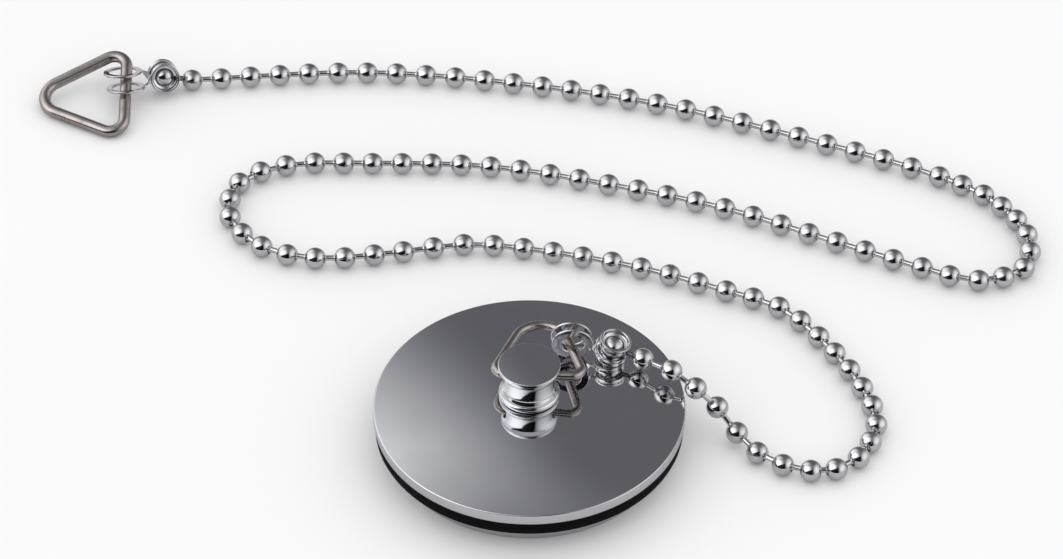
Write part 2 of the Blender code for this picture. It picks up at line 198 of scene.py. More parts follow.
def node_group(name, inputs, outputs):
    """An empty shader group with named sockets, and its two end nodes."""
    group = bpy.data.node_groups.new(name, "ShaderNodeTree")
    for label, kind, default in inputs:
        socket = group.interface.new_socket(label, in_out="INPUT", socket_type=kind)
        if default is not None:
            socket.default_value = default
    for label, kind in outputs:
        group.interface.new_socket(label, in_out="OUTPUT", socket_type=kind)
    return group, group.nodes.new("NodeGroupInput"), group.nodes.new("NodeGroupOutput")


FLOAT, VECTOR = "NodeSocketFloat", "NodeSocketVector"


def handling_haze_group():
    """Faint patches where a polished surface has been handled, as a roughness."""
    group, inp, out = node_group(
        "handling_haze",
        [("Vector", VECTOR, None), ("Scale", FLOAT, 90.0), ("Clean", FLOAT, 0.04), ("Hazy", FLOAT, 0.1)],
        [("Roughness", FLOAT), ("Mask", FLOAT)],
    )
    clouds = noise(group, inp.outputs["Vector"], inp.outputs["Scale"], 4.0, 0.55)
    fine_scale = sums(group, "MULTIPLY", inp.outputs["Scale"], 9.0)
    specks = noise(group, inp.outputs["Vector"], fine_scale, 2.0)
    mask = ramp(group, clouds, 0.42, 0.72)
    speck_mask = ramp(group, specks, 0.62, 0.8, 0.0, 0.35)
    mask = sums(group, "MAXIMUM", mask, speck_mask)
    values = {"Value": mask, "To Min": inp.outputs["Clean"], "To Max": inp.outputs["Hazy"]}
    rough = add(group, "ShaderNodeMapRange", values).outputs["Result"]
    group.links.new(rough, out.inputs["Roughness"])
    group.links.new(mask, out.inputs["Mask"])
    return group


def tool_lines_group():
    """Fine lines that repeat along a piece, left by turning, polishing or drawing."""
    group, inp, out = node_group(
        "tool_lines",
        [("Vector", VECTOR, None), ("Around", FLOAT, 2.0), ("Along", FLOAT, 9000.0)],
        [("Height", FLOAT), ("Mask", FLOAT)],
    )
    split = add(group, "ShaderNodeSeparateXYZ", {"Vector": inp.outputs["Vector"]})
    around = sums(group, "MULTIPLY", split.outputs["X"], inp.outputs["Around"])
    along = sums(group, "MULTIPLY", split.outputs["Y"], inp.outputs["Along"])
    joined = add(group, "ShaderNodeCombineXYZ", {"X": around, "Y": along})
    lines = noise(group, joined.outputs["Vector"], 1.0, 3.0, 0.6)
    group.links.new(lines, out.inputs["Height"])
    group.links.new(ramp(group, lines, 0.5, 0.75), out.inputs["Mask"])
    return group


def surface_ripple_group():
    """Very shallow unevenness of stamped, plated or moulded surfaces, as a height."""
    group, inp, out = node_group(
        "surface_ripple",
        [
            ("Vector", VECTOR, None), ("Scale", FLOAT, 200.0),
            ("Grain", FLOAT, 2500.0), ("Grain Share", FLOAT, 0.1),
        ],
        [("Height", FLOAT)],
    )
    waves = noise(group, inp.outputs["Vector"], inp.outputs["Scale"], 2.0)
    grain = noise(group, inp.outputs["Vector"], inp.outputs["Grain"], 2.0)
    part = sums(group, "MULTIPLY", grain, inp.outputs["Grain Share"])
    group.links.new(sums(group, "ADD", waves, part), out.inputs["Height"])
    return group


HAZE = handling_haze_group()
LINES = tool_lines_group()
RIPPLE = surface_ripple_group()


def place_group(tree, group, **values):
    """The outputs of a group placed in a material; words in socket names are joined by _."""
    named = {key.replace("_", " "): value for key, value in values.items()}
    return add(tree, "ShaderNodeGroup", named, node_tree=group).outputs


def new_material(name, metallic):
    """A material with its shader, its object coordinates and its round-and-along UV."""
    material = bpy.data.materials.new(name)
    material.use_nodes = True
    tree = material.node_tree
    shader = tree.nodes["Principled BSDF"]
    shader.inputs["Metallic"].default_value = metallic
    place = add(tree, "ShaderNodeTexCoord").outputs
    return material, tree, shader, place["Object"], place["UV"]


def feed(tree, shader, colour, roughness, heights):
    """Wire colour, roughness and a chain of bumps, each (height, strength, distance)."""
    tree.links.new(colour, shader.inputs["Base Color"])
    tree.links.new(roughness, shader.inputs["Roughness"])
    normal = None
    for height, strength, distance in heights:
        bump = add(tree, "ShaderNodeBump", {"Height": height, "Strength": strength, "Distance": distance})
        if normal is not None:
            tree.links.new(normal, bump.inputs["Normal"])
        normal = bump.outputs["Normal"]
    tree.links.new(normal, shader.inputs["Normal"])


# ---- materials --------------------------------------------------------------------
def polished_chrome():
    """Mirror chrome over turned brass: faint lathe lines, slight waviness, handling haze."""
    material, tree, shader, place, uv = new_material("polished_chrome", 1.0)
    haze = place_group(tree, HAZE, Vector=place, Scale=70.0, Clean=0.045, Hazy=0.085)
    lines = place_group(tree, LINES, Vector=uv, Around=3.0, Along=5200.0)
    ripple = place_group(tree, RIPPLE, Vector=place, Scale=120.0, Grain=2600.0, Grain_Share=0.05)
    colour = blend_colour(tree, haze["Mask"], (0.640, 0.645, 0.665), (0.600, 0.605, 0.628))
    colour = blend_colour(tree, sums(tree, "MULTIPLY", lines["Mask"], 0.10), colour, (0.70, 0.70, 0.72))
    feed(tree, shader, colour, haze["Roughness"], [
        (ripple["Height"], 0.10, 0.00004), (lines["Height"], 0.05, 0.00001),
    ])
    return material


def coupling_chrome():
    """Bright plating on stamped sheet: soft ripples from the die and patches of handling haze."""
    material, tree, shader, place, uv = new_material("coupling_chrome", 1.0)
    haze = place_group(tree, HAZE, Vector=place, Scale=420.0, Clean=0.06, Hazy=0.18)
    ripple = place_group(tree, RIPPLE, Vector=place, Scale=520.0, Grain=4200.0, Grain_Share=0.12)
    lines = place_group(tree, LINES, Vector=uv, Around=14.0, Along=2600.0)
    colour = blend_colour(tree, haze["Mask"], (0.70, 0.70, 0.715), (0.58, 0.58, 0.60))
    feed(tree, shader, colour, haze["Roughness"], [
        (ripple["Height"], 0.35, 0.00010), (lines["Height"], 0.08, 0.00002),
    ])
    return material


def chain_steel():
    """Plated chain steel: tumbled sheen, small dents and the seam that each bead is rolled to."""
    material, tree, shader, place, uv = new_material("chain_steel", 1.0)
    haze = place_group(tree, HAZE, Vector=place, Scale=380.0, Clean=0.055, Hazy=0.12)
    ripple = place_group(tree, RIPPLE, Vector=place, Scale=650.0, Grain=5200.0, Grain_Share=0.10)
    round_share = add(tree, "ShaderNodeSeparateXYZ", {"Vector": uv}).outputs["X"]
    from_seam = sums(tree, "ABSOLUTE", sums(tree, "SUBTRACT", round_share, 0.5))
    seam = ramp(tree, from_seam, 0.003, 0.007, 1.0, 0.0)
    colour = blend_colour(tree, haze["Mask"], (0.62, 0.615, 0.62), (0.54, 0.535, 0.54))
    colour = blend_colour(tree, sums(tree, "MULTIPLY", seam, 0.35), colour, (0.24, 0.235, 0.23))
    dip = sums(tree, "SUBTRACT", 1.0, seam)
    feed(tree, shader, colour, haze["Roughness"], [
        (ripple["Height"], 0.22, 0.00008), (dip, 0.3, 0.00004),
    ])
    return material


def link_steel_painted_shade():
    """Link wire between the beads: duller than their plating, with a darker base colour as painted shade
    between the beads.
    """
    material, tree, shader, place, uv = new_material("link_steel_painted_shade", 1.0)
    haze = place_group(tree, HAZE, Vector=place, Scale=900.0, Clean=0.18, Hazy=0.32)
    lines = place_group(tree, LINES, Vector=uv, Around=18.0, Along=200.0)
    # painted shade: the links' dark base colour stands in for the shade they sit in between the beads
    colour = blend_colour(tree, haze["Mask"], (0.21, 0.205, 0.21), (0.13, 0.125, 0.125))
    feed(tree, shader, colour, haze["Roughness"], [(lines["Height"], 0.3, 0.00003)])
    return material


def ring_steel():
    """Drawn wire, bent cold: lengthwise streaks and a slightly warm, uneven tarnish."""
    material, tree, shader, place, uv = new_material("ring_steel", 1.0)
    lines = place_group(tree, LINES, Vector=uv, Around=26.0, Along=120.0)
    haze = place_group(tree, HAZE, Vector=place, Scale=240.0, Clean=0.20, Hazy=0.34)
    ripple = place_group(tree, RIPPLE, Vector=place, Scale=480.0, Grain=3800.0, Grain_Share=0.25)
    colour = blend_colour(tree, haze["Mask"], (0.40, 0.37, 0.355), (0.27, 0.235, 0.215))
    colour = blend_colour(tree, sums(tree, "MULTIPLY", lines["Mask"], 0.45), colour, (0.45, 0.425, 0.41))
    feed(tree, shader, colour, haze["Roughness"], [
        (ripple["Height"], 0.25, 0.00008), (lines["Height"], 0.30, 0.00003),
    ])
    return material


def black_rubber():
    """Moulded rubber: fine grain, a little pale dust in the pores."""
    material, tree, shader, place, uv = new_material("black_rubber", 0.0)
    haze = place_group(tree, HAZE, Vector=place, Scale=260.0, Clean=0.52, Hazy=0.72)
    ripple = place_group(tree, RIPPLE, Vector=place, Scale=900.0, Grain=6500.0, Grain_Share=0.6)
    lines = place_group(tree, LINES, Vector=uv, Around=5.0, Along=2400.0)
    colour = blend_colour(tree, haze["Mask"], (0.0020, 0.0018, 0.0018), (0.0044, 0.0042, 0.0042))
    feed(tree, shader, colour, haze["Roughness"], [
        (ripple["Height"], 0.45, 0.00010), (lines["Height"], 0.20, 0.00004),
    ])
    shader.inputs["Specular IOR Level"].default_value = 0.06
    return material


def turned_brass():
    """Unplated turned brass with fine grain and a brown tarnish."""
    material, tree, shader, place, _ = new_material("brass", 1.0)
    haze = place_group(tree, HAZE, Vector=place, Scale=300.0, Clean=0.22, Hazy=0.42)
    ripple = place_group(tree, RIPPLE, Vector=place, Scale=700.0, Grain=5200.0, Grain_Share=0.3)
    colour = blend_colour(tree, haze["Mask"], (0.74, 0.55, 0.27), (0.47, 0.31, 0.14))
    feed(tree, shader, colour, haze["Roughness"], [(ripple["Height"], 0.4, 0.00008)])
    return material


FINISH = {
    "polished_chrome": polished_chrome(),
    "coupling_chrome": coupling_chrome(),
    "chain_steel": chain_steel(),
    "link_steel_painted_shade": link_steel_painted_shade(),
    "ring_steel": ring_steel(),
    "black_rubber": black_rubber(),
    "brass": turned_brass(),
}


# ---- shape helpers ------------------------------------------------------------------
def dress(item, slot, body, *nodes, finishes=None):
    """Give a piece its finish, its smooth shading, the body it rides and the nodes it stands for."""
    item.data.materials.clear()
    for name in finishes or [slot]:
        item.data.materials.append(FINISH[name])
    item.data.shade_smooth()
    item.data.set_sharp_from_angle(angle=math.radians(38.0))
    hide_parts(*nodes)
    if body is not None:
        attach(item, body)
    return item


def filleted(corners, closed=False, steps=5):
    """Points along an outline of (radius, height, fillet) corners, each fillet a short arc."""
    count = len(corners)
    places = [Vector((c[0], c[1])) for c in corners]
    points = []
    for i, corner in enumerate(corners):
        at_end = not closed and i in (0, count - 1)
        if at_end or corner[2] == 0.0:
            points.append(places[i])
            continue
        before = places[i - 1] - places[i]
        after = places[(i + 1) % count] - places[i]
        reach = min(corner[2], 0.48 * before.length, 0.48 * after.length)
        start = places[i] + before.normalized() * reach
        end = places[i] + after.normalized() * reach
        for step in range(steps + 1):
            t = step / steps
            points.append(start.lerp(places[i], t).lerp(places[i].lerp(end, t), t))
    return points


def skin(name, rows, loop=False, caps=False):
    """A surface over rows of points, each row closed round. A row of equal points is a pole.

    UV holds the share of the way round and the distance along, in metres.
    """
    bm = bmesh.new()
    uv = bm.loops.layers.uv.new("round_and_along")
    count = len(rows[0])
    lines = []
    for row in rows:
        if (row[0] - row[1]).length < 1e-9:
            lines.append([bm.verts.new(row[0])] * count)
        else:
            lines.append([bm.verts.new(point) for point in row])
    travel = [0.0]
    for first, second in zip(rows, rows[1:]):
        travel.append(travel[-1] + (second[0] - first[0]).length)
    spans = [(i, i + 1) for i in range(len(rows) - 1)]
    if loop:
        spans.append((len(rows) - 1, 0))
    for i, k in spans:
        far = travel[k] if k else travel[-1] + (rows[0][0] - rows[-1][0]).length
        for j in range(count):
            n = (j + 1) % count
            corners = [
                (lines[i][j], j, travel[i]), (lines[i][n], j + 1, travel[i]),
                (lines[k][n], j + 1, far), (lines[k][j], j, far),
            ]
            seen = []
            for corner in corners:
                if corner[0] not in [c[0] for c in seen]:
                    seen.append(corner)
            if len(seen) < 3:
                continue
            face = bm.faces.new([c[0] for c in seen])
            for vertex_loop, corner in zip(face.loops, seen):
                vertex_loop[uv].uv = (corner[1] / count, corner[2])
    if caps:
        bm.faces.new(lines[0])
        bm.faces.new(lines[-1])
    bmesh.ops.recalc_face_normals(bm, faces=bm.faces[:])
    mesh = bpy.data.meshes.new(name)
    bm.to_mesh(mesh)
    bm.free()
    item = bpy.data.objects.new(name, mesh)
    bpy.context.scene.collection.objects.link(item)
    return item


def turned(name, corners, steps, closed=False, matrix=None):
    """Turn an outline of (radius, height, fillet) corners about local Z."""
    rows = []
    for radius, height in filleted(corners, closed):
        row = []
        for step in range(steps):
            angle = 2 * math.pi * step / steps
            row.append(Vector((radius * math.cos(angle), radius * math.sin(angle), height)))
        rows.append(row)
    item = skin(name, rows, loop=closed)
    if matrix is not None:
        item.data.transform(matrix)
    return item


def combine(target, tool, operation):
    """Cut or join with a tool piece, apply it and remove the tool."""
    modifier = target.modifiers.new("shape", "BOOLEAN")
    modifier.operation = operation
    modifier.solver = "EXACT"
    modifier.object = tool
    ready = target.evaluated_get(bpy.context.evaluated_depsgraph_get())
    mesh = bpy.data.meshes.new_from_object(ready)
    target.modifiers.clear()
    target.data = mesh
    bpy.data.objects.remove(tool)


def wire(name, points, radius, sides, matrix):
    """A round wire along a planar line of points, with chamfered ends."""
    tangents = []
    for i in range(len(points)):
        after = points[min(i + 1, len(points) - 1)]
        before = points[max(i - 1, 0)]
        tangents.append((after - before).normalized())
    chamfer = radius * 0.18
    stations = [(points[0], tangents[0], 0.0), (points[0], tangents[0], radius - chamfer)]
    stations.append((points[0] + tangents[0] * chamfer, tangents[0], radius))
    stations += [(p, t, radius) for p, t in zip(points[1:-1], tangents[1:-1])]
    stations.append((points[-1] - tangents[-1] * chamfer, tangents[-1], radius))
    stations += [(points[-1], tangents[-1], radius - chamfer), (points[-1], tangents[-1], 0.0)]
    up = Vector((0.0, 0.0, 1.0))
    rows = []
    for centre, tangent, size in stations:
        side = tangent.cross(up).normalized()
        row = []
        for step in range(sides):
            angle = 2 * math.pi * step / sides
            row.append(centre + side * (size * math.cos(angle)) + up * (size * math.sin(angle)))
        rows.append(row)
    item = skin(name, rows)
    item.data.transform(matrix)
    return item


def ring_outline(half_base, height, base_round, apex_round, seam, arc_steps):
    """Centre line of a triangular wire ring, open at a seam in its base bar."""
    corners = [Vector((half_base, 0.0)), Vector((0.0, height)), Vector((-half_base, 0.0))]
    rounds = [base_round, apex_round, base_round]
    points = [Vector((seam + WIRE_GAP / 2, 0.0, 0.0))]
    for i, corner in enumerate(corners):
        before = (corners[i - 1] - corner).normalized()
        after = (corners[(i + 1) % 3] - corner).normalized()
        half = before.angle(after) / 2
        centre = corner + (before + after).normalized() * rounds[i] / math.sin(half)
        start = corner + before * rounds[i] / math.tan(half) - centre
        turn = math.pi - 2 * half
        for step in range(arc_steps + 1):
            angle = turn * step / arc_steps
            c, s = math.cos(angle), math.sin(angle)
            point = centre + Vector((start.x * c - start.y * s, start.x * s + start.y * c))
            points.append(Vector((point.x, point.y, 0.0)))
    points.append(Vector((seam - WIRE_GAP / 2, 0.0, 0.0)))
    return points


def frame_at(origin, x_axis, z_hint):
    """Matrix with local X along x_axis and local Z as near to z_hint as it can be."""
    x = x_axis.normalized()
    z = (z_hint - x * z_hint.dot(x)).normalized()
    matrix = Matrix((x, z.cross(x), z)).transposed().to_4x4()
    matrix.translation = origin
    return matrix


def along(start, end, spin=0.0):
    """Matrix at the middle of two points with local Z from one to the other."""
    matrix = (end - start).to_track_quat("Z", "Y").to_matrix().to_4x4()
    matrix.translation = (start + end) / 2
    return matrix @ Matrix.Rotation(spin, 4, "Z")


# ---- the chain ----------------------------------------------------------------------
def route_line():
    """Dense points on the smooth curve through the route, and the share of beads at each."""
    places = [Vector(p) for p in ROUTE]
    padded = [places[0] * 2 - places[1], *places, places[-1] * 2 - places[-2]]
    dense, beads = [], []
    done = 0.0
    steps = 24
    for i in range(1, len(padded) - 2):
        a, b, c, d = padded[i - 1:i + 3]
        knots = [0.0]
        for p, q in ((a, b), (b, c), (c, d)):
            knots.append(knots[-1] + math.sqrt((q - p).length))
        t0, t1, t2, t3 = knots
        stretch = []
        for step in range(steps + 1):
            t = t1 + (t2 - t1) * step / steps
            ab = a.lerp(b, (t - t0) / (t1 - t0))
            bc = b.lerp(c, (t - t1) / (t2 - t1))
            cd = c.lerp(d, (t - t2) / (t3 - t2))
            stretch.append(ab.lerp(bc, (t - t0) / (t2 - t0)).lerp(
                bc.lerp(cd, (t - t1) / (t3 - t1)), (t - t1) / (t2 - t1)))
        travel = [0.0]
        for p, q in zip(stretch, stretch[1:]):
            travel.append(travel[-1] + (q - p).length)
        for point, way in list(zip(stretch, travel))[:steps]:
            dense.append(point)
            beads.append(done + BEADS_IN_STRETCH[i - 1] * way / travel[-1])
        done += BEADS_IN_STRETCH[i - 1]
    dense.append(places[-1])
    beads.append(done)
    return dense, beads


def bead_centres():
    """Centre of every free bead, in order from the knob."""
    dense, beads = route_line()
    line = np.array(dense)
    numbers = np.arange(round(beads[-1]) + 1)
    columns = [np.interp(numbers, beads, line[:, k]) for k in range(3)]
    return [Vector(p) for p in np.stack(columns, -1)]


def bead_shape(name):
    """Hollow bead whose sheet turns in at a small hole at each pole of local Z."""
    start = math.asin(BEAD_HOLE_R / BEAD_R)
    lip = BEAD_R * math.cos(start)
    corners = [(0.0, -lip + BEAD_LIP, 0.0), (BEAD_HOLE_R * 0.92, -lip + BEAD_LIP, 0.0)]
    arcs = 16
    for step in range(arcs + 1):
        angle = start + (math.pi - 2 * start) * step / arcs
        corners.append((BEAD_R * math.sin(angle), -BEAD_R * math.cos(angle), 0.0))
    corners += [(BEAD_HOLE_R * 0.92, lip - BEAD_LIP, 0.0), (0.0, lip - BEAD_LIP, 0.0)]
    return turned(name, corners, 28)


def link_shape(name, length):
    """Link wire of the given length along local Z, headed where it sits in the beads."""
    half = length / 2
    return turned(name, [
        (0.0, -half, 0.0), (LINK_HEAD_R, -half, 0.0), (LINK_HEAD_R, -half + 0.00018, 0.0001),
        (LINK_R, -half + 0.00032, 0.0001), (LINK_R, half - 0.00032, 0.0001),
        (LINK_HEAD_R, half - 0.00018, 0.0001), (LINK_HEAD_R, half, 0.0), (0.0, half, 0.0),
    ], 12)


def copies(name, parts):
    """One mesh of placed copies; parts lists (template object, matrices), one finish each."""
    points, faces, uvs, kinds = [], [], [], []
    offset = 0
    for kind, (template, matrices) in enumerate(parts):
        mesh = template.data
        base = np.empty(len(mesh.vertices) * 3)
        mesh.vertices.foreach_get("co", base)
        base = base.reshape(-1, 3)
        uv = np.empty(len(mesh.loops) * 2)
        mesh.uv_layers[0].data.foreach_get("uv", uv)
        polygons = [list(p.vertices) for p in mesh.polygons]
        for matrix in matrices:
            m = np.array(matrix)
            points.append(base @ m[:3, :3].T + m[:3, 3])
            faces += [[v + offset for v in polygon] for polygon in polygons]
            uvs.append(uv)
            kinds += [kind] * len(polygons)
            offset += len(base)
        bpy.data.objects.remove(template)
    mesh = bpy.data.meshes.new(name)
    mesh.from_pydata(np.concatenate(points).tolist(), [], faces)
    layer = mesh.uv_layers.new(name="round_and_along")
    layer.data.foreach_set("uv", np.concatenate(uvs))
    mesh.polygons.foreach_set("material_index", kinds)
    item = bpy.data.objects.new(name, mesh)
    bpy.context.scene.collection.objects.link(item)
    return item


def ball_chain():
    """Free beads and the links between them, as one piece."""
    centres = bead_centres()
    bead_places, link_places = [], []
    for i, centre in enumerate(centres):
        before = centres[max(i - 1, 0)]
        after = centres[min(i + 1, len(centres) - 1)]
        place = along(before, after, BEAD_SPIN * i)
        place.translation = centre
        bead_places.append(place)
    template_length = 0.002
    for i, (start, end) in enumerate(zip(centres, centres[1:])):
        stretch = ((end - start).length - 2 * LINK_START) / template_length
        place = along(start, end, BEAD_SPIN * i) @ Matrix.Diagonal((1.0, 1.0, stretch, 1.0))
        link_places.append(place)
    chain = copies("ball_chain", [
        (bead_shape("bead_template"), bead_places),
        (link_shape("link_template", template_length), link_places),
    ])
    return dress(chain, "chain_steel", None, "bead_chain", finishes=["chain_steel", "link_steel_painted_shade"])


def end_bead(name, ball, neighbour, body, node):
    """Bead trapped in a coupling, its poles on the line to the next bead."""
    item = bead_shape(name)
    place = along(ball, neighbour)
    place.translation = ball
    item.data.transform(place)
    return dress(item, "chain_steel", body, node)


def end_link(name, ball, neighbour, body, node):
    """Link from a trapped bead to the chain, its far head well inside the free bead."""
    direction = (neighbour - ball).normalized()
    start = ball + direction * LINK_START
    end = neighbour - direction * LINK_START
    item = link_shape(name, (end - start).length)
    item.data.transform(along(start, end))
    return dress(item, "chain_steel", body, node, finishes=["link_steel_painted_shade"])


# ---- couplings and rings ---------------------------------------------------------------
def coupling_half(name, place, eye_sizes, body, node):
    """Stamped half of a coupling: a lipped cup for the bead, a twisted neck and an eyelet."""
    side, lift, hole = eye_sizes
    seat = BEAD_R + 0.0001
    inner = math.sqrt(seat ** 2 - CUP_IN ** 2)
    throat = math.sqrt(seat ** 2 - (CUP_IN + 0.0005) ** 2)
    half = turned(name, [
        (inner, CUP_IN, 0.00005), (CUP_R - 0.0001, CUP_IN, 0.00015),
        (CUP_R - 0.00008, CUP_IN + 0.0005, 0.0002),
        (CUP_R - 0.00022, CUP_IN + 0.0009, 0.0002), (CUP_R - 0.00012, CUP_OUT - 0.0006, 0.0002),
        (CUP_R, CUP_OUT - 0.0003, 0.0002), (CUP_R - 0.00005, CUP_OUT, 0.0002),
        (CUP_R - SHEET, CUP_OUT, 0.0002), (CUP_R - SHEET - 0.0001, CUP_OUT - 0.0006, 0.0003),
        (CUP_R - SHEET - 0.0002, CUP_IN + 0.0008, 0.0002), (throat, CUP_IN + 0.0006, 0.0001),
    ], 72, closed=True)
    eye_place = Matrix.Translation((-COUPLING_L, -side, lift)) @ Matrix.Rotation(math.pi / 2, 4, "X")
    edge = 0.00018
    eye = turned(name + "_eye", [
        (hole, -SHEET / 2, edge), (EYE_R, -SHEET / 2, edge),
        (EYE_R, SHEET / 2, edge), (hole, SHEET / 2, edge),
    ], 72, closed=True, matrix=eye_place)
    start_x, end_x = -CUP_R + 0.0002, -COUPLING_L + EYE_R - 0.0004
    cup_z = CUP_IN + 0.0007
    outline = filleted([
        (-0.0010, -SHEET / 2 + 0.00001, 0.00018), (0.0010, -SHEET / 2 + 0.00001, 0.00018),
        (0.0010, SHEET / 2 - 0.00001, 0.00018), (-0.0010, SHEET / 2 - 0.00001, 0.00018),
    ], closed=True, steps=3)
    rows = []
    stations = 18
    for step in range(stations + 1):
        share = step / stations
        turn = math.pi / 2 * share
        ease = share * share * (3 - 2 * share)
        centre = Vector((
            start_x + (end_x - start_x) * share,
            -side * ease,
            cup_z + (lift - cup_z) * ease,
        ))
        wide = Vector((0.0, math.cos(turn), math.sin(turn)))
        thick = Vector((0.0, -math.sin(turn), math.cos(turn)))
        waist = 1.0 - 0.16 * math.sin(math.pi * share)
        rows.append([centre + wide * (x * waist) + thick * y for x, y in outline])
    neck = skin(name + "_neck", rows, caps=True)
    combine(half, neck, "UNION")
    combine(half, eye, "UNION")
    half.data.transform(place)
    return dress(half, "coupling_chrome", body, node)


def coupling(end, ball, eyes, cup_axis, eye_sizes):
    """Both halves of a coupling."""
    place = frame_at(ball, ball - eyes, cup_axis)
    turned_over = place @ Matrix.Rotation(math.pi, 4, "X")
    body = end + "_coupling"
    return [
        coupling_half(body + "_upper_half", place, eye_sizes, body, body + "_front"),
        coupling_half(body + "_lower_half", turned_over, eye_sizes, body, body + "_back"),
    ]


def knob_ring():
    """Triangular wire ring whose base bar passes through the knob's cross hole."""
    place = (
        Matrix.Translation((0.0, 0.0, HOLE_Z))
        @ Matrix.Rotation(math.radians(-7.0), 4, "X")
        @ Matrix.Rotation(math.radians(-3.0), 4, "Z")
        @ Matrix.Translation((0.00175, 0.0, 0.0))
    )
    points = ring_outline(*KNOB_RING, 22)
    item = wire("knob_wire_ring", points, KNOB_WIRE_R, 28, place)
    return dress(item, "ring_steel", "knob_ring", "knob_ring")


def pull_ring():
    """Pull ring at the chain's free end, its wire ends butted in the base bar."""
    slant = math.radians(14.0)
    bar = Vector((0.0, math.cos(slant), math.sin(slant)))
    to_apex = Vector((-0.992, 0.0, -0.118))
    normal = to_apex.cross(bar).normalized()
    to_apex = bar.cross(normal).normalized()
    place = Matrix((bar, to_apex, normal)).transposed().to_4x4()
    place.translation = END_RING_SEAT - bar * 0.0036
    points = ring_outline(*END_RING, 22)
    item = wire("pull_ring", points, END_WIRE_R, 28, place)
    return dress(item, "ring_steel", "end_ring", "end_ring")


near_next, far_next = Vector(ROUTE[0]), Vector(ROUTE[-1])
chain = ball_chain()
near_ball = end_bead("near_trapped_bead", NEAR_BALL, near_next, "near_bead", "near_end_bead")
near_wire = end_link("near_link_wire", NEAR_BALL, near_next, "near_bead", "near_link")
far_ball = end_bead("far_trapped_bead", FAR_BALL, far_next, "far_bead", "far_end_bead")
far_wire = end_link("far_link_wire", FAR_BALL, far_next, "far_bead", "far_link")
coupling("near", NEAR_BALL, NEAR_EYES, NEAR_CUP_AXIS, NEAR_EYE)
far_halves = coupling("far", FAR_BALL, FAR_EYES, FAR_CUP_AXIS, FAR_EYE)
knob_ring()
pull = pull_ring()

route_path = route_line()[0]
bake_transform(chain)


# ---- the plug -------------------------------------------------------------------------
def dome(radius):
    """Height of the cover plate's top surface at a radius."""
    return RIM_Z + DOME_RISE * (1.0 - (radius / PLATE_R) ** 2)


def cover_plate():
    """Domed cover with a short straight side and softly rounded edges."""
    inner = PLATE_R - PLATE_T
    shares = [0.985 - 0.905 * step / 30 for step in range(31)]
    top = [(PLATE_R * share, dome(PLATE_R * share), 0.0) for share in shares]
    under = [(inner * share, dome(inner * share) - PLATE_T, 0.0) for share in (0.35, 0.6, 0.85)]
    item = turned("plug_cover", [
        (CLEAR_R, dome(CLEAR_R) - PLATE_T, 0.0), *under,
        (inner, RIM_Z - 0.0008, 0.0004), (inner, plate_low.z, 0.00015),
        (PLATE_R, plate_low.z, 0.0003), (PLATE_R, RIM_Z, 0.00045), *top,
        (CLEAR_R, dome(CLEAR_R), 0.0),
    ], 224, closed=True)
    return dress(item, "polished_chrome", "plug", "cover_plate")


def seal_ring():
    """Rubber ring squeezed between the discs, with a moulding line round its edge."""
    lip = seal_low.z
    top = seal_high.z
    middle = (lip + top) / 2
    item = turned("rubber_seal", [
        (SEAL_BORE, lip + SEAL_LIP, 0.0), (DISC_R + 0.0001, lip + SEAL_LIP, 0.0),
        (DISC_R + 0.0002, lip, 0.0001), (SEAL_R - 0.0001, lip, 0.0005),
        (SEAL_R - 0.00012, middle - 0.00012, 0.0003), (SEAL_R, middle, 0.00006),
        (SEAL_R - 0.00012, middle + 0.00012, 0.0003), (SEAL_R - 0.0001, top, 0.0004),
        (SEAL_BORE, top, 0.0),
    ], 192, closed=True)
    return dress(item, "black_rubber", "plug", "seal_ring")


def lower_disc():
    """Disc that enters the drain: rounded shoulder, flat foot ring, shallow recess."""
    top = disc_high.z
    item = turned("drain_disc", [
        (CLEAR_R, WEB_Z, 0.0001), (DISC_R - 0.0040, WEB_Z, 0.0008), (DISC_R - 0.0034, 0.0008, 0.0006),
        (DISC_R - 0.0026, 0.0, 0.0003), (DISC_R - 0.0010, 0.0, 0.0003), (DISC_R - 0.0003, 0.0006, 0.0006),
        (DISC_R, 0.0016, 0.0008), (DISC_R, top, 0.0003), (CLEAR_R, top, 0.0001),
    ], 192, closed=True)
    return dress(item, "polished_chrome", "plug", "lower_disc")


def knob():
    """Turned pull knob: flat head, waisted neck, stepped foot and a cross hole."""
    foot, top = knob_low.z, knob_high.z
    item = turned("pull_knob", [
        (0.0, SCREW_TOP, 0.0), (SCREW_BORE, SCREW_TOP, 0.0001), (SCREW_BORE, foot, 0.0001),
        (0.00580, foot, 0.0001), (0.00612, foot + 0.00035, 0.0003), (0.00612, foot + 0.0009, 0.0003),
        (0.00580, foot + 0.00128, 0.0002), (0.00568, foot + 0.00128, 0.00005),
        (0.00552, foot + 0.0017, 0.0003), (0.00508, foot + 0.0025, 0.0009),
        (0.00508, top - 0.0040, 0.0012), (0.00528, top - 0.0021, 0.0008),
        (0.00590, top - 0.00105, 0.0004), (0.00605, top - 0.00085, 0.0001),
        (HEAD_R - 0.00004, top - 0.00078, 0.00012), (HEAD_R, top, 0.00022), (0.0, top, 0.0),
    ], 144)
    length = 2 * HEAD_R
    drill_place = Matrix.Translation((0.0, 0.0, HOLE_Z)) @ Matrix.Rotation(math.pi / 2, 4, "Y")
    drill = turned("cross_drill", [
        (0.0, -length, 0.0), (HOLE_R, -length, 0.0), (HOLE_R, length, 0.0), (0.0, length, 0.0),
    ], 48, matrix=drill_place)
    combine(item, drill, "DIFFERENCE")
    return dress(item, "polished_chrome", "plug", "knob")


cover_plate()
seal_ring()
lower_disc()
knob()

for node, slot in (
    ("clamp_screw", "brass"), ("plain_washer", "chain_steel"), ("lock_washer", "chain_steel"),
    ("spacer_bush", "brass"), ("centre_gasket", "black_rubber"),
):
    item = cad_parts[node]
    if not item.material_slots:
        item.data.materials.append(FINISH[slot])
    for material_slot in item.material_slots:
        material_slot.material = FINISH[slot]


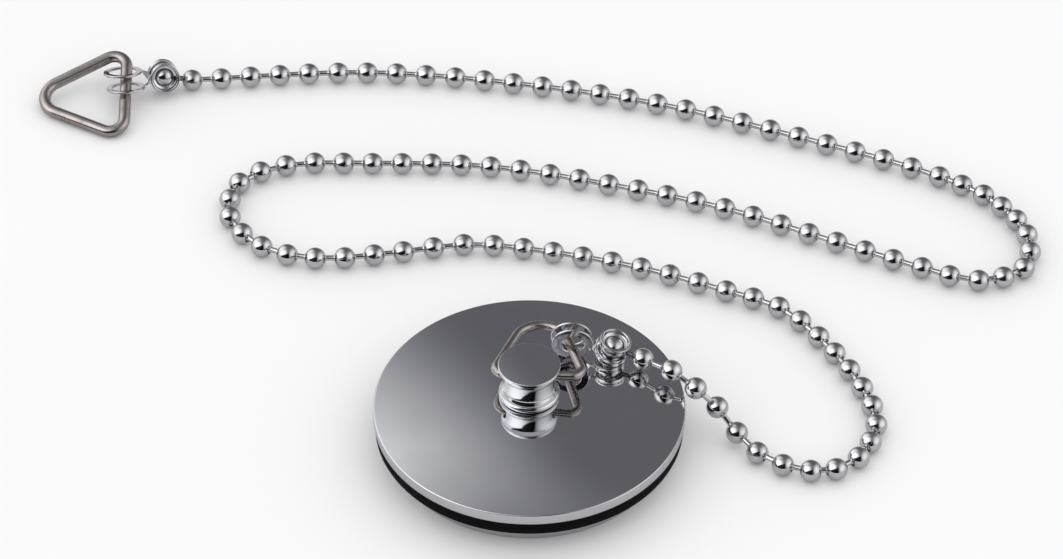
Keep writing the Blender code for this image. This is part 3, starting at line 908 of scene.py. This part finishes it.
# ---- floor and light --------------------------------------------------------------------
FRONT_UP = math.radians(42.6)   # how far above level the studio's front is
WALL = 0.165                    # brightness of the plain wall in reflections
PANEL_GAP = 0.14                # place of the narrow gap between the two panels


def floor():
    """Plain pale floor, faintly uneven in tone, with a painted darker grey where chrome reflects it."""
    material, tree, shader, place, _ = new_material("pale_floor", 0.0)
    tone = noise(tree, place, 6.0, 3.0)
    colour = blend_colour(tree, tone, (0.90, 0.90, 0.90), (0.93, 0.93, 0.93))
    # painted reflection: the floor turns a darker grey only where it is seen in reflections
    mirrored = add(tree, "ShaderNodeLightPath").outputs["Is Glossy Ray"]
    colour = blend_colour(tree, mirrored, colour, (0.66, 0.645, 0.665))
    grain = noise(tree, place, 900.0, 2.0)
    rough = ramp(tree, tone, 0.3, 0.7, 0.75, 0.85)
    feed(tree, shader, colour, rough, [(grain, 0.05, 0.0001)])
    shader.inputs["Specular IOR Level"].default_value = 0.1
    bm = bmesh.new()
    bmesh.ops.create_grid(bm, x_segments=8, y_segments=8, size=6.0)
    mesh = bpy.data.meshes.new("studio_floor")
    bm.to_mesh(mesh)
    bm.free()
    mesh.materials.append(material)
    item = bpy.data.objects.new("studio_floor", mesh)
    item.location.z = -0.00005
    bpy.context.scene.collection.objects.link(item)


def share_along(tree, direction, axis):
    """How far a direction points along a fixed axis."""
    values = {0: direction, 1: axis}
    return add(tree, "ShaderNodeVectorMath", values, operation="DOT_PRODUCT").outputs["Value"]


def ball_place(tree, direction):
    """Place of a direction in a polished ball that faces the studio's front: across and up."""
    facing = share_along(tree, direction, (0.0, -math.cos(FRONT_UP), math.sin(FRONT_UP)))
    raised = share_along(tree, direction, (0.0, math.sin(FRONT_UP), math.cos(FRONT_UP)))
    side = share_along(tree, direction, (1.0, 0.0, 0.0))
    doubled = sums(tree, "MULTIPLY", sums(tree, "ADD", facing, 1.0), 2.0)
    reach = sums(tree, "SQRT", sums(tree, "MAXIMUM", doubled, 0.01))
    return sums(tree, "DIVIDE", side, reach), sums(tree, "DIVIDE", raised, reach)


def soft_patch(tree, across, up, middle, reach, strength):
    """A soft oval panel of light in the ball's across and up."""
    x = sums(tree, "DIVIDE", sums(tree, "SUBTRACT", across, middle[0]), reach[0])
    y = sums(tree, "DIVIDE", sums(tree, "SUBTRACT", up, middle[1]), reach[1])
    squares = sums(tree, "ADD", sums(tree, "MULTIPLY", x, x), sums(tree, "MULTIPLY", y, y))
    return ramp(tree, sums(tree, "SQRT", squares), 1.0, 0.10, 0.0, strength)


def wall_brightness(tree, direction):
    """Plain wall behind the object, brighter to the left, far right and overhead."""
    axes = add(tree, "ShaderNodeSeparateXYZ", {"Vector": direction}).outputs
    side, depth, height = axes["X"], axes["Y"], axes["Z"]
    slanted = sums(tree, "ADD", side, sums(tree, "MULTIPLY", sums(tree, "SUBTRACT", depth, 0.72), 0.6))
    left_glow = ramp(tree, slanted, 0.02, -0.50, 0.0, 0.80)
    left_glow = sums(tree, "MULTIPLY", left_glow, ramp(tree, depth, 0.25, 0.62))
    right_glow = ramp(tree, side, 0.35, 0.95, 0.0, 0.35)
    overhead = ramp(tree, height, 0.84, 1.0, 0.0, 0.10)
    glows = sums(tree, "ADD", left_glow, sums(tree, "ADD", right_glow, overhead))
    return sums(tree, "ADD", glows, WALL)


def panel_brightness(tree, across, up):
    """Two soft panels and a wash of light, with a darker gap between the panels."""
    left_panel = soft_patch(tree, across, up, (-0.36, 0.14), (0.50, 0.58), 1.60)
    left_wash = soft_patch(tree, across, up, (-0.62, 0.00), (0.66, 0.95), 0.60)
    right_panel = soft_patch(tree, across, up, (0.50, 0.06), (0.50, 0.62), 0.80)
    panels = sums(tree, "ADD", left_panel, sums(tree, "ADD", right_panel, left_wash))
    from_gap = sums(tree, "ABSOLUTE", sums(tree, "SUBTRACT", across, PANEL_GAP))
    return sums(tree, "MULTIPLY", panels, ramp(tree, from_gap, 0.02, 0.12, 0.45, 1.0))


def dark_flag(tree, across, up):
    """Share of a black flag that stands low in front, with a slanting top edge."""
    slant = sums(tree, "SUBTRACT", up, sums(tree, "MULTIPLY", across, 0.30))
    sides = sums(tree, "MULTIPLY", ramp(tree, across, -0.62, -0.54), ramp(tree, across, 0.185, 0.16))
    return sums(tree, "MULTIPLY", ramp(tree, slant, 0.09, 0.05), sides)


def studio_light():
    """Soft studio: pale all round for diffuse light, panels and a dark flag for reflections."""
    world = bpy.data.worlds.new("studio")
    world.use_nodes = True
    tree = world.node_tree
    tree.nodes.clear()
    direction = add(tree, "ShaderNodeTexCoord").outputs["Generated"]
    across, up = ball_place(tree, direction)
    lit_wall = sums(tree, "ADD", wall_brightness(tree, direction), panel_brightness(tree, across, up))
    open_share = sums(tree, "SUBTRACT", 1.0, sums(tree, "MULTIPLY", dark_flag(tree, across, up), 0.98))
    seen = sums(tree, "MULTIPLY", lit_wall, open_share)
    tint = blend_colour(tree, ramp(tree, seen, 0.15, 0.8), (0.97, 0.97, 1.06), (1.0, 1.0, 1.0))
    reflected = add(tree, "ShaderNodeBackground", {"Color": tint, "Strength": seen})
    height = share_along(tree, direction, (0.0, 0.0, 1.0))
    strength = ramp(tree, height, -0.1, 1.0, 0.80, 1.15)
    dome_light = add(tree, "ShaderNodeBackground", {"Color": (1.0, 1.0, 1.0, 1.0), "Strength": strength})
    backdrop = add(tree, "ShaderNodeBackground", {"Color": (0.985, 0.985, 0.985, 1.0), "Strength": 1.0})
    path = add(tree, "ShaderNodeLightPath").outputs
    lit = {0: path["Is Glossy Ray"], 1: dome_light.outputs[0], 2: reflected.outputs[0]}
    lit = add(tree, "ShaderNodeMixShader", lit).outputs[0]
    shown = {0: path["Is Camera Ray"], 1: lit, 2: backdrop.outputs[0]}
    shown = add(tree, "ShaderNodeMixShader", shown).outputs[0]
    add(tree, "ShaderNodeOutputWorld", {"Surface": shown})
    bpy.context.scene.world = world
    bpy.context.scene.view_settings.view_transform = "Standard"


floor()
studio_light()
